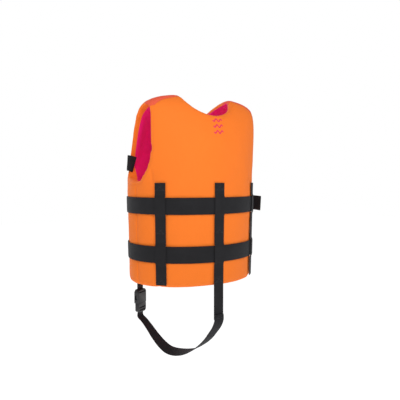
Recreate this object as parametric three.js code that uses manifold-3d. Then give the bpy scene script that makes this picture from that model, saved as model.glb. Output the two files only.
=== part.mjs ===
// Child's buoyancy jacket: foam panels in a fabric cover, front zip, three belts, crotch strap.
// Millimetres, +Z up, wearer's left = +X, back = +Y. The origin is where the shoulders carry it.
import * as THREE from 'three';
import { mergeVertices } from 'three/addons/utils/BufferGeometryUtils.js';
import Module from 'manifold-3d';

const wasm = await Module();
wasm.setup();

// ---- driving sizes -------------------------------------------------------------------------
const CHEST_HALF_WIDTH = 163; // side to side, at the widest height
const HEM_HALF_WIDTH = 158;
const DEPTH_RATIO = 136 / 163; // front-to-back half depth over half width
const STRAIGHT_HEIGHT = 240; // hem to where the wall starts to close over the shoulders
const JACKET_HEIGHT = 442; // hem to shoulder crest
const CREST_Y = 58; // the shoulder crest lies behind the middle of the torso
const BODY_THICKNESS = 30; // front, back and shoulders
const SIDE_THICKNESS = 20;
const COVER_THICKNESS = 2;
const LINING_THICKNESS = 2;
const GAP = 0.3; // clearance between neighbouring pieces
const SHOULDER_REST_Z = JACKET_HEIGHT - BODY_THICKNESS - 2; // shoulders' underside above the hem

const FRONT_SEAM_Y = 25.3;
const REAR_SEAM_Y = 72.6;
const ZIP_GAP = 6.6; // between the two front panels

const BELT_WIDTH = 38;
const KEEPER_WIDTH = 25;
const WEBBING_THICKNESS = 1.8;
const MID_BELT_Z = 182;
const LOWER_BELT_Z = 72.4;
const CHEST_STRAP_SHARE = 0.214; // how far up the closing part of the body the chest strap sits
const CHEST_STRAP_Z = STRAIGHT_HEIGHT + CHEST_STRAP_SHARE * (JACKET_HEIGHT - STRAIGHT_HEIGHT);
const KEEPER_BOTTOM = 3;
const KEEPER_TOP = 234;
const SIDE_PARAM = 50; // rear side keepers, degrees round the torso from centre back
const FRONT_PARAM = 142.6; // front keepers
const TAIL_FLARE = [-10.2, 55]; // loose end of the middle belt, leaving the wearer's right side
const LOWER_TAIL_ANGLE = 232;

const BACK_TAB_BOTTOM = -80;
const CROTCH_BUCKLE_Z = -84; // split line between the two halves
const CROTCH_WIDTH = 25;
const FEMALE_LENGTH = 34;
const MALE_LENGTH = 24;
const FRONT_TAB_BOTTOM = CROTCH_BUCKLE_Z + FEMALE_LENGTH + GAP;

const AROUND = 36; // facets round the torso
const CLOSING_LEVELS = [0.25, 0.45, 0.62, 0.76, 0.87, 0.94, 0.98, 0.997];

// ---- solids --------------------------------------------------------------------------------
function toManifold(geometry) {
  let plain = geometry.index ? geometry.toNonIndexed() : geometry.clone();
  plain.deleteAttribute('normal');
  plain.deleteAttribute('uv');
  plain = mergeVertices(plain, 1e-5);
  const mesh = new wasm.Mesh({
    numProp: 3,
    vertProperties: new Float32Array(plain.attributes.position.array),
    triVerts: new Uint32Array(plain.index.array),
  });
  mesh.merge();
  return new wasm.Manifold(mesh);
}

function toGeometry(solid) {
  const mesh = solid.getMesh();
  const geometry = new THREE.BufferGeometry();
  const positions = new Float32Array(mesh.vertProperties);
  geometry.setAttribute('position', new THREE.BufferAttribute(positions, 3));
  geometry.setIndex(new THREE.BufferAttribute(new Uint32Array(mesh.triVerts), 1));
  return geometry;
}

function box(x0, x1, y0, y1, z0, z1) {
  const geometry = new THREE.BoxGeometry(x1 - x0, y1 - y0, z1 - z0);
  geometry.translate((x0 + x1) / 2, (y0 + y1) / 2, (z0 + z1) / 2);
  return toManifold(geometry);
}

// a flat outline in (first, second) pushed along the remaining axis
function prism(outline, axis, low, high) {
  const shape = new THREE.Shape(outline.map(([a, b]) => new THREE.Vector2(a, b)));
  const geometry = new THREE.ExtrudeGeometry(shape, { depth: high - low, bevelEnabled: false });
  geometry.translate(0, 0, low);
  const turned = new THREE.Matrix4();
  const bases = {
    x: [new THREE.Vector3(0, 1, 0), new THREE.Vector3(0, 0, 1), new THREE.Vector3(1, 0, 0)],
    y: [new THREE.Vector3(0, 0, 1), new THREE.Vector3(1, 0, 0), new THREE.Vector3(0, 1, 0)],
    z: [new THREE.Vector3(1, 0, 0), new THREE.Vector3(0, 1, 0), new THREE.Vector3(0, 0, 1)],
  };
  turned.makeBasis(...bases[axis]);
  geometry.applyMatrix4(turned);
  return toManifold(geometry);
}

// outline moved outward by distance (inward when negative); points run anticlockwise
function grow(outline, distance) {
  const count = outline.length;
  const area = outline.reduce((sum, [a, b], i) => {
    const [c, d] = outline[(i + 1) % count];
    return sum + a * d - c * b;
  }, 0);
  const side = Math.sign(area) * distance;
  return outline.map(([a, b], i) => {
    const [pa, pb] = outline[(i + count - 1) % count];
    const [na, nb] = outline[(i + 1) % count];
    const before = new THREE.Vector2(b - pb, pa - a).normalize();
    const after = new THREE.Vector2(nb - b, a - na).normalize();
    const middle = before.clone().add(after).normalize();
    const reach = side / Math.max(middle.dot(before), 0.3);
    return [a + middle.x * reach, b + middle.y * reach];
  });
}

const mirrorX = (solid) => solid.mirror([1, 0, 0]);

// ---- torso form ----------------------------------------------------------------------------
// Nested closed forms: depth 0 is the outer face of the cover, positive depths lie inside it.
function section(z, depth) {
  const rise = Math.min(z, STRAIGHT_HEIGHT) / STRAIGHT_HEIGHT;
  const outerHalfWidth = HEM_HALF_WIDTH + (CHEST_HALF_WIDTH - HEM_HALF_WIDTH) * rise;
  const halfWidth = outerHalfWidth - depth;
  const halfDepth = outerHalfWidth * DEPTH_RATIO - depth;
  const closing = Math.max(0, (z - STRAIGHT_HEIGHT) / (JACKET_HEIGHT - depth - STRAIGHT_HEIGHT));
  return {
    halfWidth: halfWidth * (1 - 0.045 * closing ** 2) * (1 - closing ** 14) ** 0.45,
    front: halfDepth * (1 - closing ** 4) ** 0.6,
    back: halfDepth * (1 - closing ** 2.5) ** 0.7,
    middle: CREST_Y * closing ** 1.8,
  };
}

function torsoPoint(angle, z, depth) {
  const { halfWidth, front, back, middle } = section(z, depth);
  const reach = Math.cos(angle);
  return [halfWidth * Math.sin(angle), middle + (reach > 0 ? back : front) * reach, z];
}

const torsoCache = new Map();
function torso(depth) {
  if (torsoCache.has(depth)) {
    return torsoCache.get(depth);
  }
  const closingHeight = JACKET_HEIGHT - depth - STRAIGHT_HEIGHT;
  const closingLevels = CLOSING_LEVELS.map((u) => STRAIGHT_HEIGHT + u * closingHeight);
  const levels = [-10, STRAIGHT_HEIGHT, ...closingLevels];
  const points = [];
  for (const z of levels) {
    for (let i = 0; i < AROUND; i += 1) {
      points.push(...torsoPoint((-2 * Math.PI * i) / AROUND, z, depth));
    }
  }
  const index = [];
  for (let level = 0; level < levels.length - 1; level += 1) {
    for (let i = 0; i < AROUND; i += 1) {
      const a = level * AROUND + i;
      const b = level * AROUND + ((i + 1) % AROUND);
      index.push(a, b, b + AROUND, a, b + AROUND, a + AROUND);
    }
  }
  const top = (levels.length - 1) * AROUND;
  for (let i = 1; i < AROUND - 1; i += 1) {
    index.push(0, i + 1, i);
    index.push(top, top + i, top + i + 1);
  }
  const geometry = new THREE.BufferGeometry();
  geometry.setAttribute('position', new THREE.Float32BufferAttribute(points, 3));
  geometry.setIndex(index);
  const solid = toManifold(geometry);
  torsoCache.set(depth, solid);
  return solid;
}

const layer = (outer, inner) => torso(outer).subtract(torso(inner));

// ---- panel outlines ------------------------------------------------------------------------
// Heights above the straight wall are drawn for a 442 mm jacket and stretch with its height.
const DRAWN_HEIGHT = 442;
const STRETCH = (JACKET_HEIGHT - STRAIGHT_HEIGHT) / (DRAWN_HEIGHT - STRAIGHT_HEIGHT);
function stretched(z) {
  const above = z - STRAIGHT_HEIGHT;
  return STRAIGHT_HEIGHT + (above > 0 ? above * STRETCH : above);
}
const sideOutline = (points) => points.map(([y, z]) => [y, stretched(z)]);
const frontOutline = (points) => points.map(([z, x]) => [stretched(z), x]);

// seen from the side, as (Y, Z)
const ARMHOLE = sideOutline([
  [29.5, 237], [47, 250], [59, 269], [67.4, 300], [70.6, 332], [69.3, 371], [66, 402], [54, 413],
  [34, 412], [8, 398], [-20, 374], [-45, 340], [-57, 306], [-58, 266], [-45, 249], [-10, 240],
]);
const ARMHOLE_INNER_X = 100; // the armhole arch ends this far from the middle, under the shoulder
const ARMHOLE_FRONT_Y = -57;
const BACK = sideOutline([
  [REAR_SEAM_Y, -40], [300, -40], [300, 480], [74, 480], [74, 409], [58, 404], [58, 296],
  [66, 280], [REAR_SEAM_Y, 240],
]);
const SIDE = sideOutline([
  [FRONT_SEAM_Y, -40], [REAR_SEAM_Y, -40], [REAR_SEAM_Y, 240], [66, 280], [58, 296],
  [FRONT_SEAM_Y, 296],
]);
const FRONT = sideOutline([
  [-300, -40], [FRONT_SEAM_Y, -40], [FRONT_SEAM_Y, 300], [46, 400], [46, 480], [-300, 480],
]);
const SHOULDER = sideOutline([[46, 400], [58, 404], [74, 409], [74, 480], [46, 480]]);

// seen from the front, as (Z, X), for the part behind and ahead of the shoulder crest
const NECK_BACK = frontOutline([
  [388.5, 0], [391, 20], [397, 36], [406.5, 50], [420, 61], [432, 66], [480, 78],
  [480, -78], [432, -66], [420, -61], [406.5, -50], [397, -36], [391, -20],
]);
const NECK_FRONT_BOTTOM = 345;
const NECK_FRONT = frontOutline([
  [NECK_FRONT_BOTTOM, 0], [352, 17], [372, 40], [396, 56], [415, 62], [432, 66], [480, 78],
  [480, -78], [432, -66], [415, -62], [396, -56], [372, -40], [352, -17],
]);

function openings(inset) {
  const arm = prism(grow(ARMHOLE, inset), 'x', ARMHOLE_INNER_X - inset, 260);
  const neckBack = prism(grow(NECK_BACK, inset), 'y', CREST_Y - inset, 300);
  const neckFront = prism(grow(NECK_FRONT, inset), 'y', -300, CREST_Y + inset);
  return arm.add(mirrorX(arm)).add(neckBack).add(neckFront);
}

function region(outline, x0, x1, inset) {
  const block = prism(grow(outline, -inset), 'x', x0 + inset, x1 - inset);
  return block.subtract(openings(inset)).intersect(box(-300, 300, -300, 300, inset, 500));
}

// ---- the assembly --------------------------------------------------------------------------
const group = new THREE.Group();
group.name = 'life_jacket';

const COLOURS = {
  cover: [0xf58a34, 0.72, 0],
  lining: [0xd21a60, 0.8, 0],
  shoulder: [0xec6952, 0.75, 0],
  foam: [0xf2efe6, 0.9, 0],
  webbing: [0x232327, 0.8, 0],
  plastic: [0x1c1c1f, 0.45, 0],
  tape: [0x2a2a2e, 0.85, 0],
};

function addPiece(name, solid, look) {
  const [color, roughness, metalness] = COLOURS[look];
  const geometry = toGeometry(solid.translate([0, -CREST_Y, -SHOULDER_REST_Z]));
  geometry.computeVertexNormals();
  const finish = new THREE.MeshStandardMaterial({ color, roughness, metalness });
  const mesh = new THREE.Mesh(geometry, finish);
  mesh.name = name;
  group.add(mesh);
}

// A panel is a cover folded round the foam's edges, the foam slab, and the lining that closes it.
function addPanel(name, outline, x0, x1, thickness, coverLook) {
  const liningFace = thickness - LINING_THICKNESS;
  const outside = region(outline, x0, x1, GAP / 2);
  const hollow = layer(COVER_THICKNESS, thickness + 5);
  const pocket = hollow.intersect(region(outline, x0, x1, COVER_THICKNESS));
  const cover = layer(0, liningFace - GAP).intersect(outside).subtract(pocket);
  const foamEdge = region(outline, x0, x1, COVER_THICKNESS + GAP);
  const foam = layer(COVER_THICKNESS + GAP, liningFace - GAP).intersect(foamEdge);
  const lining = layer(liningFace, thickness).intersect(outside);
  addPiece(`${name}_cover`, cover, coverLook);
  addPiece(`${name}_foam`, foam, 'foam');
  addPiece(`${name}_lining`, lining, 'lining');
}

addPanel('back', BACK, -300, 300, BODY_THICKNESS, 'cover');
for (const [side, sign] of [['left', 1], ['right', -1]]) {
  const span = (near, far) => (sign > 0 ? [near, far] : [-far, -near]);
  addPanel(`side_${side}`, SIDE, ...span(60, 300), SIDE_THICKNESS, 'cover');
  addPanel(`front_${side}`, FRONT, ...span(ZIP_GAP / 2, 300), BODY_THICKNESS, 'cover');
  addPanel(`shoulder_${side}`, SHOULDER, ...span(20, 300), BODY_THICKNESS, 'shoulder');
}

// ---- zip -----------------------------------------------------------------------------------
const ZIP_BOTTOM = 3;
const ZIP_TOP = stretched(NECK_FRONT_BOTTOM) - 4;
const TAPE_WIDTH = 11;
const TAPE_THICKNESS = 0.7;
const TEETH_WIDTH = 2.85;
const TEETH_PROUD = 2.0;
const TEETH_DEEP = 1.0;
const STOP_HEIGHT = 5;

for (const [side, sign] of [['left', 1], ['right', -1]]) {
  const strip = (near, far, z0, z1) => {
    const [x0, x1] = sign > 0 ? [near, far] : [-far, -near];
    return box(x0, x1, -300, 0, z0, z1);
  };
  const inner = TEETH_WIDTH + 0.15 + GAP;
  const tapeStrip = strip(inner, inner + TAPE_WIDTH, ZIP_BOTTOM, ZIP_TOP);
  const tape = layer(-GAP - TAPE_THICKNESS, -GAP).intersect(tapeStrip);
  const teethBottom = ZIP_BOTTOM + STOP_HEIGHT + GAP;
  const teethStrip = strip(0.15, 0.15 + TEETH_WIDTH, teethBottom, ZIP_TOP);
  const teeth = layer(-TEETH_PROUD, TEETH_DEEP).intersect(teethStrip);
  addPiece(`zip_tape_${side}`, tape, 'tape');
  addPiece(`zip_teeth_${side}`, teeth, 'plastic');
}
const stopBlock = box(-3, 3, -300, 0, ZIP_BOTTOM, ZIP_BOTTOM + STOP_HEIGHT);
const stopLayer = layer(-TEETH_PROUD - 0.6, TEETH_DEEP + 0.4);
addPiece('zip_bottom_stop', stopLayer.intersect(stopBlock), 'plastic');

// pieces modelled flat (u, v, w = outward) and then laid on the jacket
function place(solid, origin, uAxis, outward) {
  const u = new THREE.Vector3(...uAxis).normalize();
  const w = new THREE.Vector3(...outward);
  w.addScaledVector(u, -w.dot(u)).normalize();
  const v = new THREE.Vector3().crossVectors(w, u);
  const matrix = new THREE.Matrix4().makeBasis(u, v, w).setPosition(...origin);
  return solid.transform(matrix.toArray());
}

function frontFrame(z) {
  const [, y0] = torsoPoint(Math.PI, z - 6, 0);
  const [, y1] = torsoPoint(Math.PI, z + 6, 0);
  const [, y] = torsoPoint(Math.PI, z, 0);
  return { origin: [0, y, z], outward: [0, -12, y1 - y0], up: [0, y1 - y0, 12] };
}

const SLIDER_Z = ZIP_TOP - 8;
const SLIDER_LENGTH = 13;
const SLIDER_WIDTH = 12;
const LUG_HEIGHT = 5.4;
const PULL_LENGTH = 22;
const sliderFrame = frontFrame(SLIDER_Z);
const sliderTop = TEETH_PROUD + 0.6;
const halfSlider = SLIDER_LENGTH / 2;
const pinHeight = sliderTop + 1.8 + 3.2;

const halfWide = SLIDER_WIDTH / 2;
const sliderPlate = box(-halfSlider, halfSlider, -halfWide, halfWide, sliderTop, sliderTop + 1.8);
const flange = box(-halfSlider, halfSlider, 3.6, halfWide, 1.7, sliderTop + 1);
const otherFlange = flange.mirror([0, 1, 0]);
const lug = box(-3, 3, -1.7, 1.7, sliderTop + 1, sliderTop + 1.8 + LUG_HEIGHT);
const pinShape = new THREE.CylinderGeometry(1.3, 1.3, 6, 12);
const lugBore = toManifold(pinShape).translate([0, 0, pinHeight]);
const slider = sliderPlate.add(flange).add(otherFlange).add(lug).subtract(lugBore);

const pinRod = new THREE.CylinderGeometry(0.9, 0.9, 7, 12);
const pullPin = toManifold(pinRod).translate([0, 0, pinHeight]);
const pullArm = box(-7.5, 1.3, 2.1, 3.9, pinHeight - 1.1, pinHeight + 1.1);
const pullTab = box(-PULL_LENGTH, -6, -3.9, 3.9, pinHeight - 1.1, pinHeight + 1.1);
const pull = pullPin.add(pullArm).add(pullArm.mirror([0, 1, 0])).add(pullTab);

for (const [name, solid] of [['zip_slider', slider], ['zip_pull', pull]]) {
  const { origin, up, outward } = sliderFrame;
  addPiece(name, place(solid, origin, up, outward), 'plastic');
}

// ---- belts ---------------------------------------------------------------------------------
const BELT_FACE = GAP + WEBBING_THICKNESS; // outer face of a belt above the cover
const KEEPER_FACE = BELT_FACE + GAP + WEBBING_THICKNESS;
// the wall leans outward over a belt's width, so an upright spare end needs this much more room
const LEAN = (BELT_WIDTH / 2) * ((CHEST_HALF_WIDTH - HEM_HALF_WIDTH) / STRAIGHT_HEIGHT);
const TAIL_MIDDLE = KEEPER_FACE + LEAN + 1.5 * GAP + WEBBING_THICKNESS / 2;
const FEMALE_BELT_END = 27.5;
const MALE_BELT_END = 15.5;
const TAIL_START = 25;

function around(z, margin) {
  const half = BELT_WIDTH / 2 + margin;
  return box(-300, 300, -300, 300, z - half, z + half);
}
const beltLayer = layer(-BELT_FACE, -GAP);
const frontOpening = box(-MALE_BELT_END, FEMALE_BELT_END, -300, 0, -50, 500);

for (const [name, z] of [['mid_belt', MID_BELT_Z], ['lower_belt', LOWER_BELT_Z]]) {
  addPiece(name, beltLayer.intersect(around(z, 0)).subtract(frontOpening), 'webbing');
}

// The chest strap runs from one armhole edge to the other; its ends fold onto the panel edge.
const FOLD_DEPTH = 26;
const foldBand = (inset) => prism(grow(ARMHOLE, -inset), 'x', 100, 260);
const foldLayer = foldBand(GAP).subtract(foldBand(BELT_FACE));
const strapSection = section(CHEST_STRAP_Z, -BELT_FACE);
const edgeShare = (ARMHOLE_FRONT_Y - strapSection.middle) / strapSection.front;
const foldEdge = strapSection.halfWidth * Math.sqrt(1 - edgeShare ** 2) + GAP;
const foldReach = box(foldEdge - FOLD_DEPTH, foldEdge, -100, -50, 0, 500);
const chestFold = foldLayer.intersect(foldReach).intersect(around(CHEST_STRAP_Z, 0));
const chestFront = box(0, 300, -300, ARMHOLE_FRONT_Y + 0.8, 0, 500);
const chestFace = beltLayer.intersect(around(CHEST_STRAP_Z, 0)).intersect(chestFront);
const chestStrap = chestFace.add(chestFold);
addPiece('chest_strap_left', chestStrap.subtract(frontOpening), 'webbing');
addPiece('chest_strap_right', mirrorX(chestStrap).subtract(frontOpening), 'webbing');

// flat webbing along a path; each stop is a point and the direction of the webbing's width
function ribbon(stops, width, thickness) {
  const points = [];
  stops.forEach(({ at, across }, i) => {
    const before = stops[Math.max(i - 1, 0)].at;
    const after = stops[Math.min(i + 1, stops.length - 1)].at;
    const along = after.clone().sub(before).normalize();
    const wide = across.clone().addScaledVector(along, -across.dot(along)).normalize();
    const thick = new THREE.Vector3().crossVectors(along, wide);
    wide.multiplyScalar(width / 2);
    thick.multiplyScalar(thickness / 2);
    for (const [a, b] of [[-1, -1], [1, -1], [1, 1], [-1, 1]]) {
      const corner = at.clone().addScaledVector(wide, a).addScaledVector(thick, b);
      points.push(...corner.toArray());
    }
  });
  const index = [0, 2, 1, 0, 3, 2];
  for (let i = 0; i < stops.length - 1; i += 1) {
    for (let k = 0; k < 4; k += 1) {
      const a = i * 4 + k;
      const b = i * 4 + ((k + 1) % 4);
      index.push(a, b, b + 4, a, b + 4, a + 4);
    }
  }
  const end = (stops.length - 1) * 4;
  index.push(end, end + 1, end + 2, end, end + 2, end + 3);
  const geometry = new THREE.BufferGeometry();
  geometry.setAttribute('position', new THREE.Float32BufferAttribute(points, 3));
  geometry.setIndex(index);
  return toManifold(geometry);
}

const UP = new THREE.Vector3(0, 0, 1);
const FACET = 360 / AROUND;

// A belt's spare end: from the buckle back along the wearer's right, over the keepers.
function beltTail(z, lastAngle, flare) {
  const stops = [];
  for (let k = Math.ceil(189.5 / FACET); k * FACET <= lastAngle; k += 1) {
    const [x, y] = torsoPoint((k * FACET * Math.PI) / 180, z, -TAIL_MIDDLE);
    stops.push({ at: new THREE.Vector3(x, y, z), across: UP });
  }
  if (flare) {
    const { at } = stops[stops.length - 1];
    stops.push({ at: new THREE.Vector3(at.x + flare[0], at.y + flare[1], z), across: UP });
  }
  const beyondStart = box(-TAIL_START, 300, -300, 0, -50, 500);
  return ribbon(stops, BELT_WIDTH, WEBBING_THICKNESS).subtract(beyondStart);
}
addPiece('mid_belt_tail', beltTail(MID_BELT_Z, 277, TAIL_FLARE), 'webbing');
addPiece('lower_belt_tail', beltTail(LOWER_BELT_Z, LOWER_TAIL_ANGLE, null), 'webbing');

// ---- keepers: webbing sewn on upright, bridging over the two lower belts --------------------
const BRIDGE_MARGIN = 0.5;
const flatKeeper = layer(-BELT_FACE, -GAP);
const bridgeKeeper = layer(-KEEPER_FACE, -BELT_FACE - GAP);
const fullKeeper = layer(-KEEPER_FACE, -GAP);
const beltZones = (margin) => around(MID_BELT_Z, margin).add(around(LOWER_BELT_Z, margin));
const stepZones = beltZones(BRIDGE_MARGIN + WEBBING_THICKNESS).subtract(beltZones(BRIDGE_MARGIN));
const keeperLayer = flatKeeper
  .subtract(beltZones(BRIDGE_MARGIN))
  .add(bridgeKeeper.intersect(beltZones(BRIDGE_MARGIN + WEBBING_THICKNESS)))
  .add(fullKeeper.intersect(stepZones))
  .intersect(box(-300, 300, -300, 300, KEEPER_BOTTOM, KEEPER_TOP));

// an upright block KEEPER_WIDTH wide, square to the torso at an angle from centre back
function keeperBlock(angle, bottom, top) {
  const [x, y] = torsoPoint((angle * Math.PI) / 180, LOWER_BELT_Z, 0);
  const normal = Math.atan2(x / CHEST_HALF_WIDTH ** 2, y / (CHEST_HALF_WIDTH * DEPTH_RATIO) ** 2);
  const block = box(-KEEPER_WIDTH / 2, KEEPER_WIDTH / 2, -30, 30, bottom, top);
  return block.rotate([0, 0, (-normal * 180) / Math.PI]).translate([x, y, 0]);
}
const keeper = (angle) => keeperLayer.intersect(keeperBlock(angle, 0, 300));

// the tab under a keeper hangs straight down from its lower end
function hangingTab(angle, bottom) {
  const lip = flatKeeper.intersect(keeperBlock(angle, KEEPER_BOTTOM, KEEPER_BOTTOM + 1));
  const [x, y] = torsoPoint((angle * Math.PI) / 180, KEEPER_BOTTOM, -GAP - WEBBING_THICKNESS / 2);
  const normal = Math.atan2(x / CHEST_HALF_WIDTH ** 2, y / (CHEST_HALF_WIDTH * DEPTH_RATIO) ** 2);
  const half = WEBBING_THICKNESS / 2;
  const flap = box(-KEEPER_WIDTH / 2, KEEPER_WIDTH / 2, -half, half, bottom, KEEPER_BOTTOM + 1);
  const hanging = flap.rotate([0, 0, (-normal * 180) / Math.PI]).translate([x, y, 0]);
  return hanging.subtract(torso(-GAP)).add(lip);
}

addPiece('keeper_back_centre', keeper(0).add(hangingTab(0, BACK_TAB_BOTTOM)), 'webbing');
addPiece('keeper_back_left', keeper(SIDE_PARAM), 'webbing');
addPiece('keeper_back_right', keeper(-SIDE_PARAM), 'webbing');
const frontTab = hangingTab(FRONT_PARAM, FRONT_TAB_BOTTOM);
addPiece('keeper_front_left', keeper(FRONT_PARAM).add(frontTab), 'webbing');
addPiece('keeper_front_right', keeper(-FRONT_PARAM), 'webbing');

// ---- side-release buckles ------------------------------------------------------------------
// Flat frame: u runs along the webbing (female on +u), v across it, w away from the body.
const BUCKLE = {
  sideWall: 4.5, // body beyond the webbing, each side
  bottom: -1.5,
  top: 12.6,
  cavity: [4.6, 10.2],
  cavityDepth: 24,
  wall: 3.2,
  window: [9, 20.5],
  slot: 3.4,
  bar: 3.5,
  tongueHalf: 3.8,
  tongueLength: 22,
  prongThick: 4.2,
  prongRoot: 0.15,
  prongTip: 21,
  barb: 1.7,
};

function buckleHalves(webbing) {
  const b = BUCKLE;
  const half = webbing / 2 + b.sideWall;
  const slotHalf = webbing / 2 + 0.8;
  const plan = (points, w0, w1) => prism(points, 'z', w0, w1);
  const rect = (u0, u1, v0, v1, w0, w1) => box(u0, u1, v0, v1, w0, w1);
  const corner = 4;
  const femaleEnd = FEMALE_LENGTH;
  const femalePlan = [
    [0, -half], [femaleEnd - corner, -half], [femaleEnd, corner - half], [femaleEnd, half - corner],
    [femaleEnd - corner, half], [0, half],
  ];
  const [w0, w1] = b.cavity;
  const female = plan(femalePlan, b.bottom, b.top)
    .subtract(rect(-1, b.cavityDepth, b.wall - half, half - b.wall, w0, w1))
    .subtract(rect(...b.window, -half - 1, half + 1, w0, w1))
    .subtract(rect(femaleEnd - b.bar - b.slot, femaleEnd - b.bar, -slotHalf, slotHalf, -20, 20));

  const maleHalf = half - 1;
  const malePlan = [
    [-GAP - 0.1, -maleHalf], [-GAP - 0.1, maleHalf], [corner - MALE_LENGTH, maleHalf],
    [-MALE_LENGTH, maleHalf - corner], [-MALE_LENGTH, corner - maleHalf],
    [corner - MALE_LENGTH, -maleHalf],
  ];
  const rearSlot = b.bar - MALE_LENGTH;
  const frontSlot = rearSlot + b.slot + b.bar;
  const male = plan(malePlan, b.bottom, w1)
    .subtract(rect(rearSlot, rearSlot + b.slot, -slotHalf, slotHalf, -20, 20))
    .subtract(rect(frontSlot, frontSlot + b.slot, -slotHalf, slotHalf, -20, 20))
    .add(rect(-1, b.tongueLength, -b.tongueHalf, b.tongueHalf, w0 + 0.5, w1 - 0.5));

  const outer = half - b.wall - 0.4;
  const inner = outer - b.prongThick;
  const prongPlan = [
    [b.prongRoot, inner], [b.prongTip - 1, inner], [b.prongTip, inner + 1.2],
    [b.window[1] - 0.6, outer + b.barb], [b.window[0] + 3, outer + b.barb],
    [b.window[0] + 0.6, outer], [b.prongRoot, outer],
  ];
  const upperProng = plan(prongPlan, w0 + 0.5, w1 - 0.5);
  return { female, male, upperProng, lowerProng: upperProng.mirror([0, 1, 0]) };
}

function addBuckle(name, webbing, origin, uAxis, outward, clearOf) {
  const halves = buckleHalves(webbing);
  const fit = (solid) => {
    const placed = place(solid, origin, uAxis, outward);
    return clearOf ? placed.subtract(clearOf) : placed;
  };
  addPiece(`${name}_female`, fit(halves.female), 'plastic');
  addPiece(`${name}_male`, fit(halves.male), 'plastic');
  addPiece(`${name}_prong_a`, fit(halves.upperProng), 'plastic');
  addPiece(`${name}_prong_b`, fit(halves.lowerProng), 'plastic');
}

const underBuckle = torso(-BELT_FACE - GAP);
for (const [name, z] of [['chest', CHEST_STRAP_Z], ['mid', MID_BELT_Z], ['lower', LOWER_BELT_Z]]) {
  const { origin, outward } = frontFrame(z);
  addBuckle(`${name}_buckle`, BELT_WIDTH, origin, [1, 0, 0], outward, underBuckle);
}

// ---- crotch strap --------------------------------------------------------------------------
const tabFace = -GAP - WEBBING_THICKNESS / 2;
const [tabX, tabY] = torsoPoint((FRONT_PARAM * Math.PI) / 180, KEEPER_BOTTOM, tabFace);
const tabOut = [tabX / CHEST_HALF_WIDTH ** 2, tabY / (CHEST_HALF_WIDTH * DEPTH_RATIO) ** 2, 0];
const tabNormal = new THREE.Vector3(...tabOut).normalize();
// the tab ends in the female half's slot, so the buckle's mid-plane is the plane of the tab
const buckleMiddle = (BUCKLE.bottom + BUCKLE.top) / 2;
const crotchX = tabX - tabNormal.x * buckleMiddle;
const crotchY = tabY - tabNormal.y * buckleMiddle;
const crotchOrigin = [crotchX, crotchY, CROTCH_BUCKLE_Z];
addBuckle('crotch_buckle', CROTCH_WIDTH, crotchOrigin, [0, 0, 1], tabOut, null);

// From the back tab down, forward between the legs and up to the buckle.
const [, backTabY] = torsoPoint(0, KEEPER_BOTTOM, tabFace);
const strapBackY = backTabY + WEBBING_THICKNESS + GAP;
const CROTCH_PATH = [
  [0, strapBackY, -68], [0, strapBackY, -82], [2.5, 129.5, -98], [6.5, 119, -114], [12, 105, -133],
  [19.5, 86, -152], [29, 62, -170], [39, 37, -181.5], [50, 10, -188], [59, -11.5, -187.5],
  [67.5, -32, -178.5], [76, -53, -163], [84, -74, -144.5], [91, -91, -130],
];
const buckleAcross = new THREE.Vector3(-tabNormal.y, tabNormal.x, 0);
const strapStops = CROTCH_PATH.map(([x, y, z], i) => {
  const share = Math.max(0, i - 1) / (CROTCH_PATH.length - 2);
  const across = new THREE.Vector3(1, 0, 0).lerp(buckleAcross, share);
  return { at: new THREE.Vector3(x, y, z), across };
});
const STRAP_TOP = CROTCH_BUCKLE_Z - MALE_LENGTH - GAP;
for (const z of [STRAP_TOP - 12, STRAP_TOP]) {
  strapStops.push({ at: new THREE.Vector3(tabX, tabY, z), across: buckleAcross.clone() });
}
addPiece('crotch_strap', ribbon(strapStops, CROTCH_WIDTH, WEBBING_THICKNESS), 'webbing');

export default group;
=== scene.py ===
# Child's buoyancy jacket: orange foam vest with a pink lining, black webbing, zip and buckles.
# Metres, +Z up, wearer's left = +X, back = +Y, origin where the shoulders carry the jacket.
import math

import bmesh
import bpy
import numpy as np
from mathutils import Matrix, Vector, noise
from mathutils.bvhtree import BVHTree


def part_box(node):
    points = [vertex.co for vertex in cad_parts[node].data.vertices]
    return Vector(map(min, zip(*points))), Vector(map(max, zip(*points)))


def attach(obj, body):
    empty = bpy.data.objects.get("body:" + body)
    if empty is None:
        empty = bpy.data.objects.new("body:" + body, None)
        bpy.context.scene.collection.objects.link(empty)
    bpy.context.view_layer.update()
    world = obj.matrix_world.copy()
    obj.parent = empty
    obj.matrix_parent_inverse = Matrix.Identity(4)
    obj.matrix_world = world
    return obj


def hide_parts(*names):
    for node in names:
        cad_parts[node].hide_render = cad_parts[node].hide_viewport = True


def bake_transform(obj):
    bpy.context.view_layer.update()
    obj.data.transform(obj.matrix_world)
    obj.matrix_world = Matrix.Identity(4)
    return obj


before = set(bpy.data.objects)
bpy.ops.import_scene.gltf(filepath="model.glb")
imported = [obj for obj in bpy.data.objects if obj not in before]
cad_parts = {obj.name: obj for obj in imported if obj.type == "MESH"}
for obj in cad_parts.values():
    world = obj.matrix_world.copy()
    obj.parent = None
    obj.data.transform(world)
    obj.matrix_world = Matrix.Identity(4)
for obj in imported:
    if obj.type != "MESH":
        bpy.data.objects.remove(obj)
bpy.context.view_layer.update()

# ---- Camera and studio ----------------------------------------------------------------------
# The jacket is shown from behind, a little to the wearer's left, held up in a white studio with
# a key lamp beside the camera, a weak fill lamp, one for the front and a pale floor well below.
HEM_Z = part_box("back_cover")[0].z
FRONT_SEAM_Y = 25.3  # millimetres behind the torso's axis
TORSO_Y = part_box("side_left_cover")[0].y - FRONT_SEAM_Y / 1000


def row(x, y, z):
    """Jacket millimetres (torso axis at x = y = 0, hem at z = 0) to the row frame."""
    return Vector((x / 1000, TORSO_Y + y / 1000, HEM_Z + z / 1000))


scene = bpy.context.scene
scene.view_settings.view_transform = "Standard"

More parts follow.
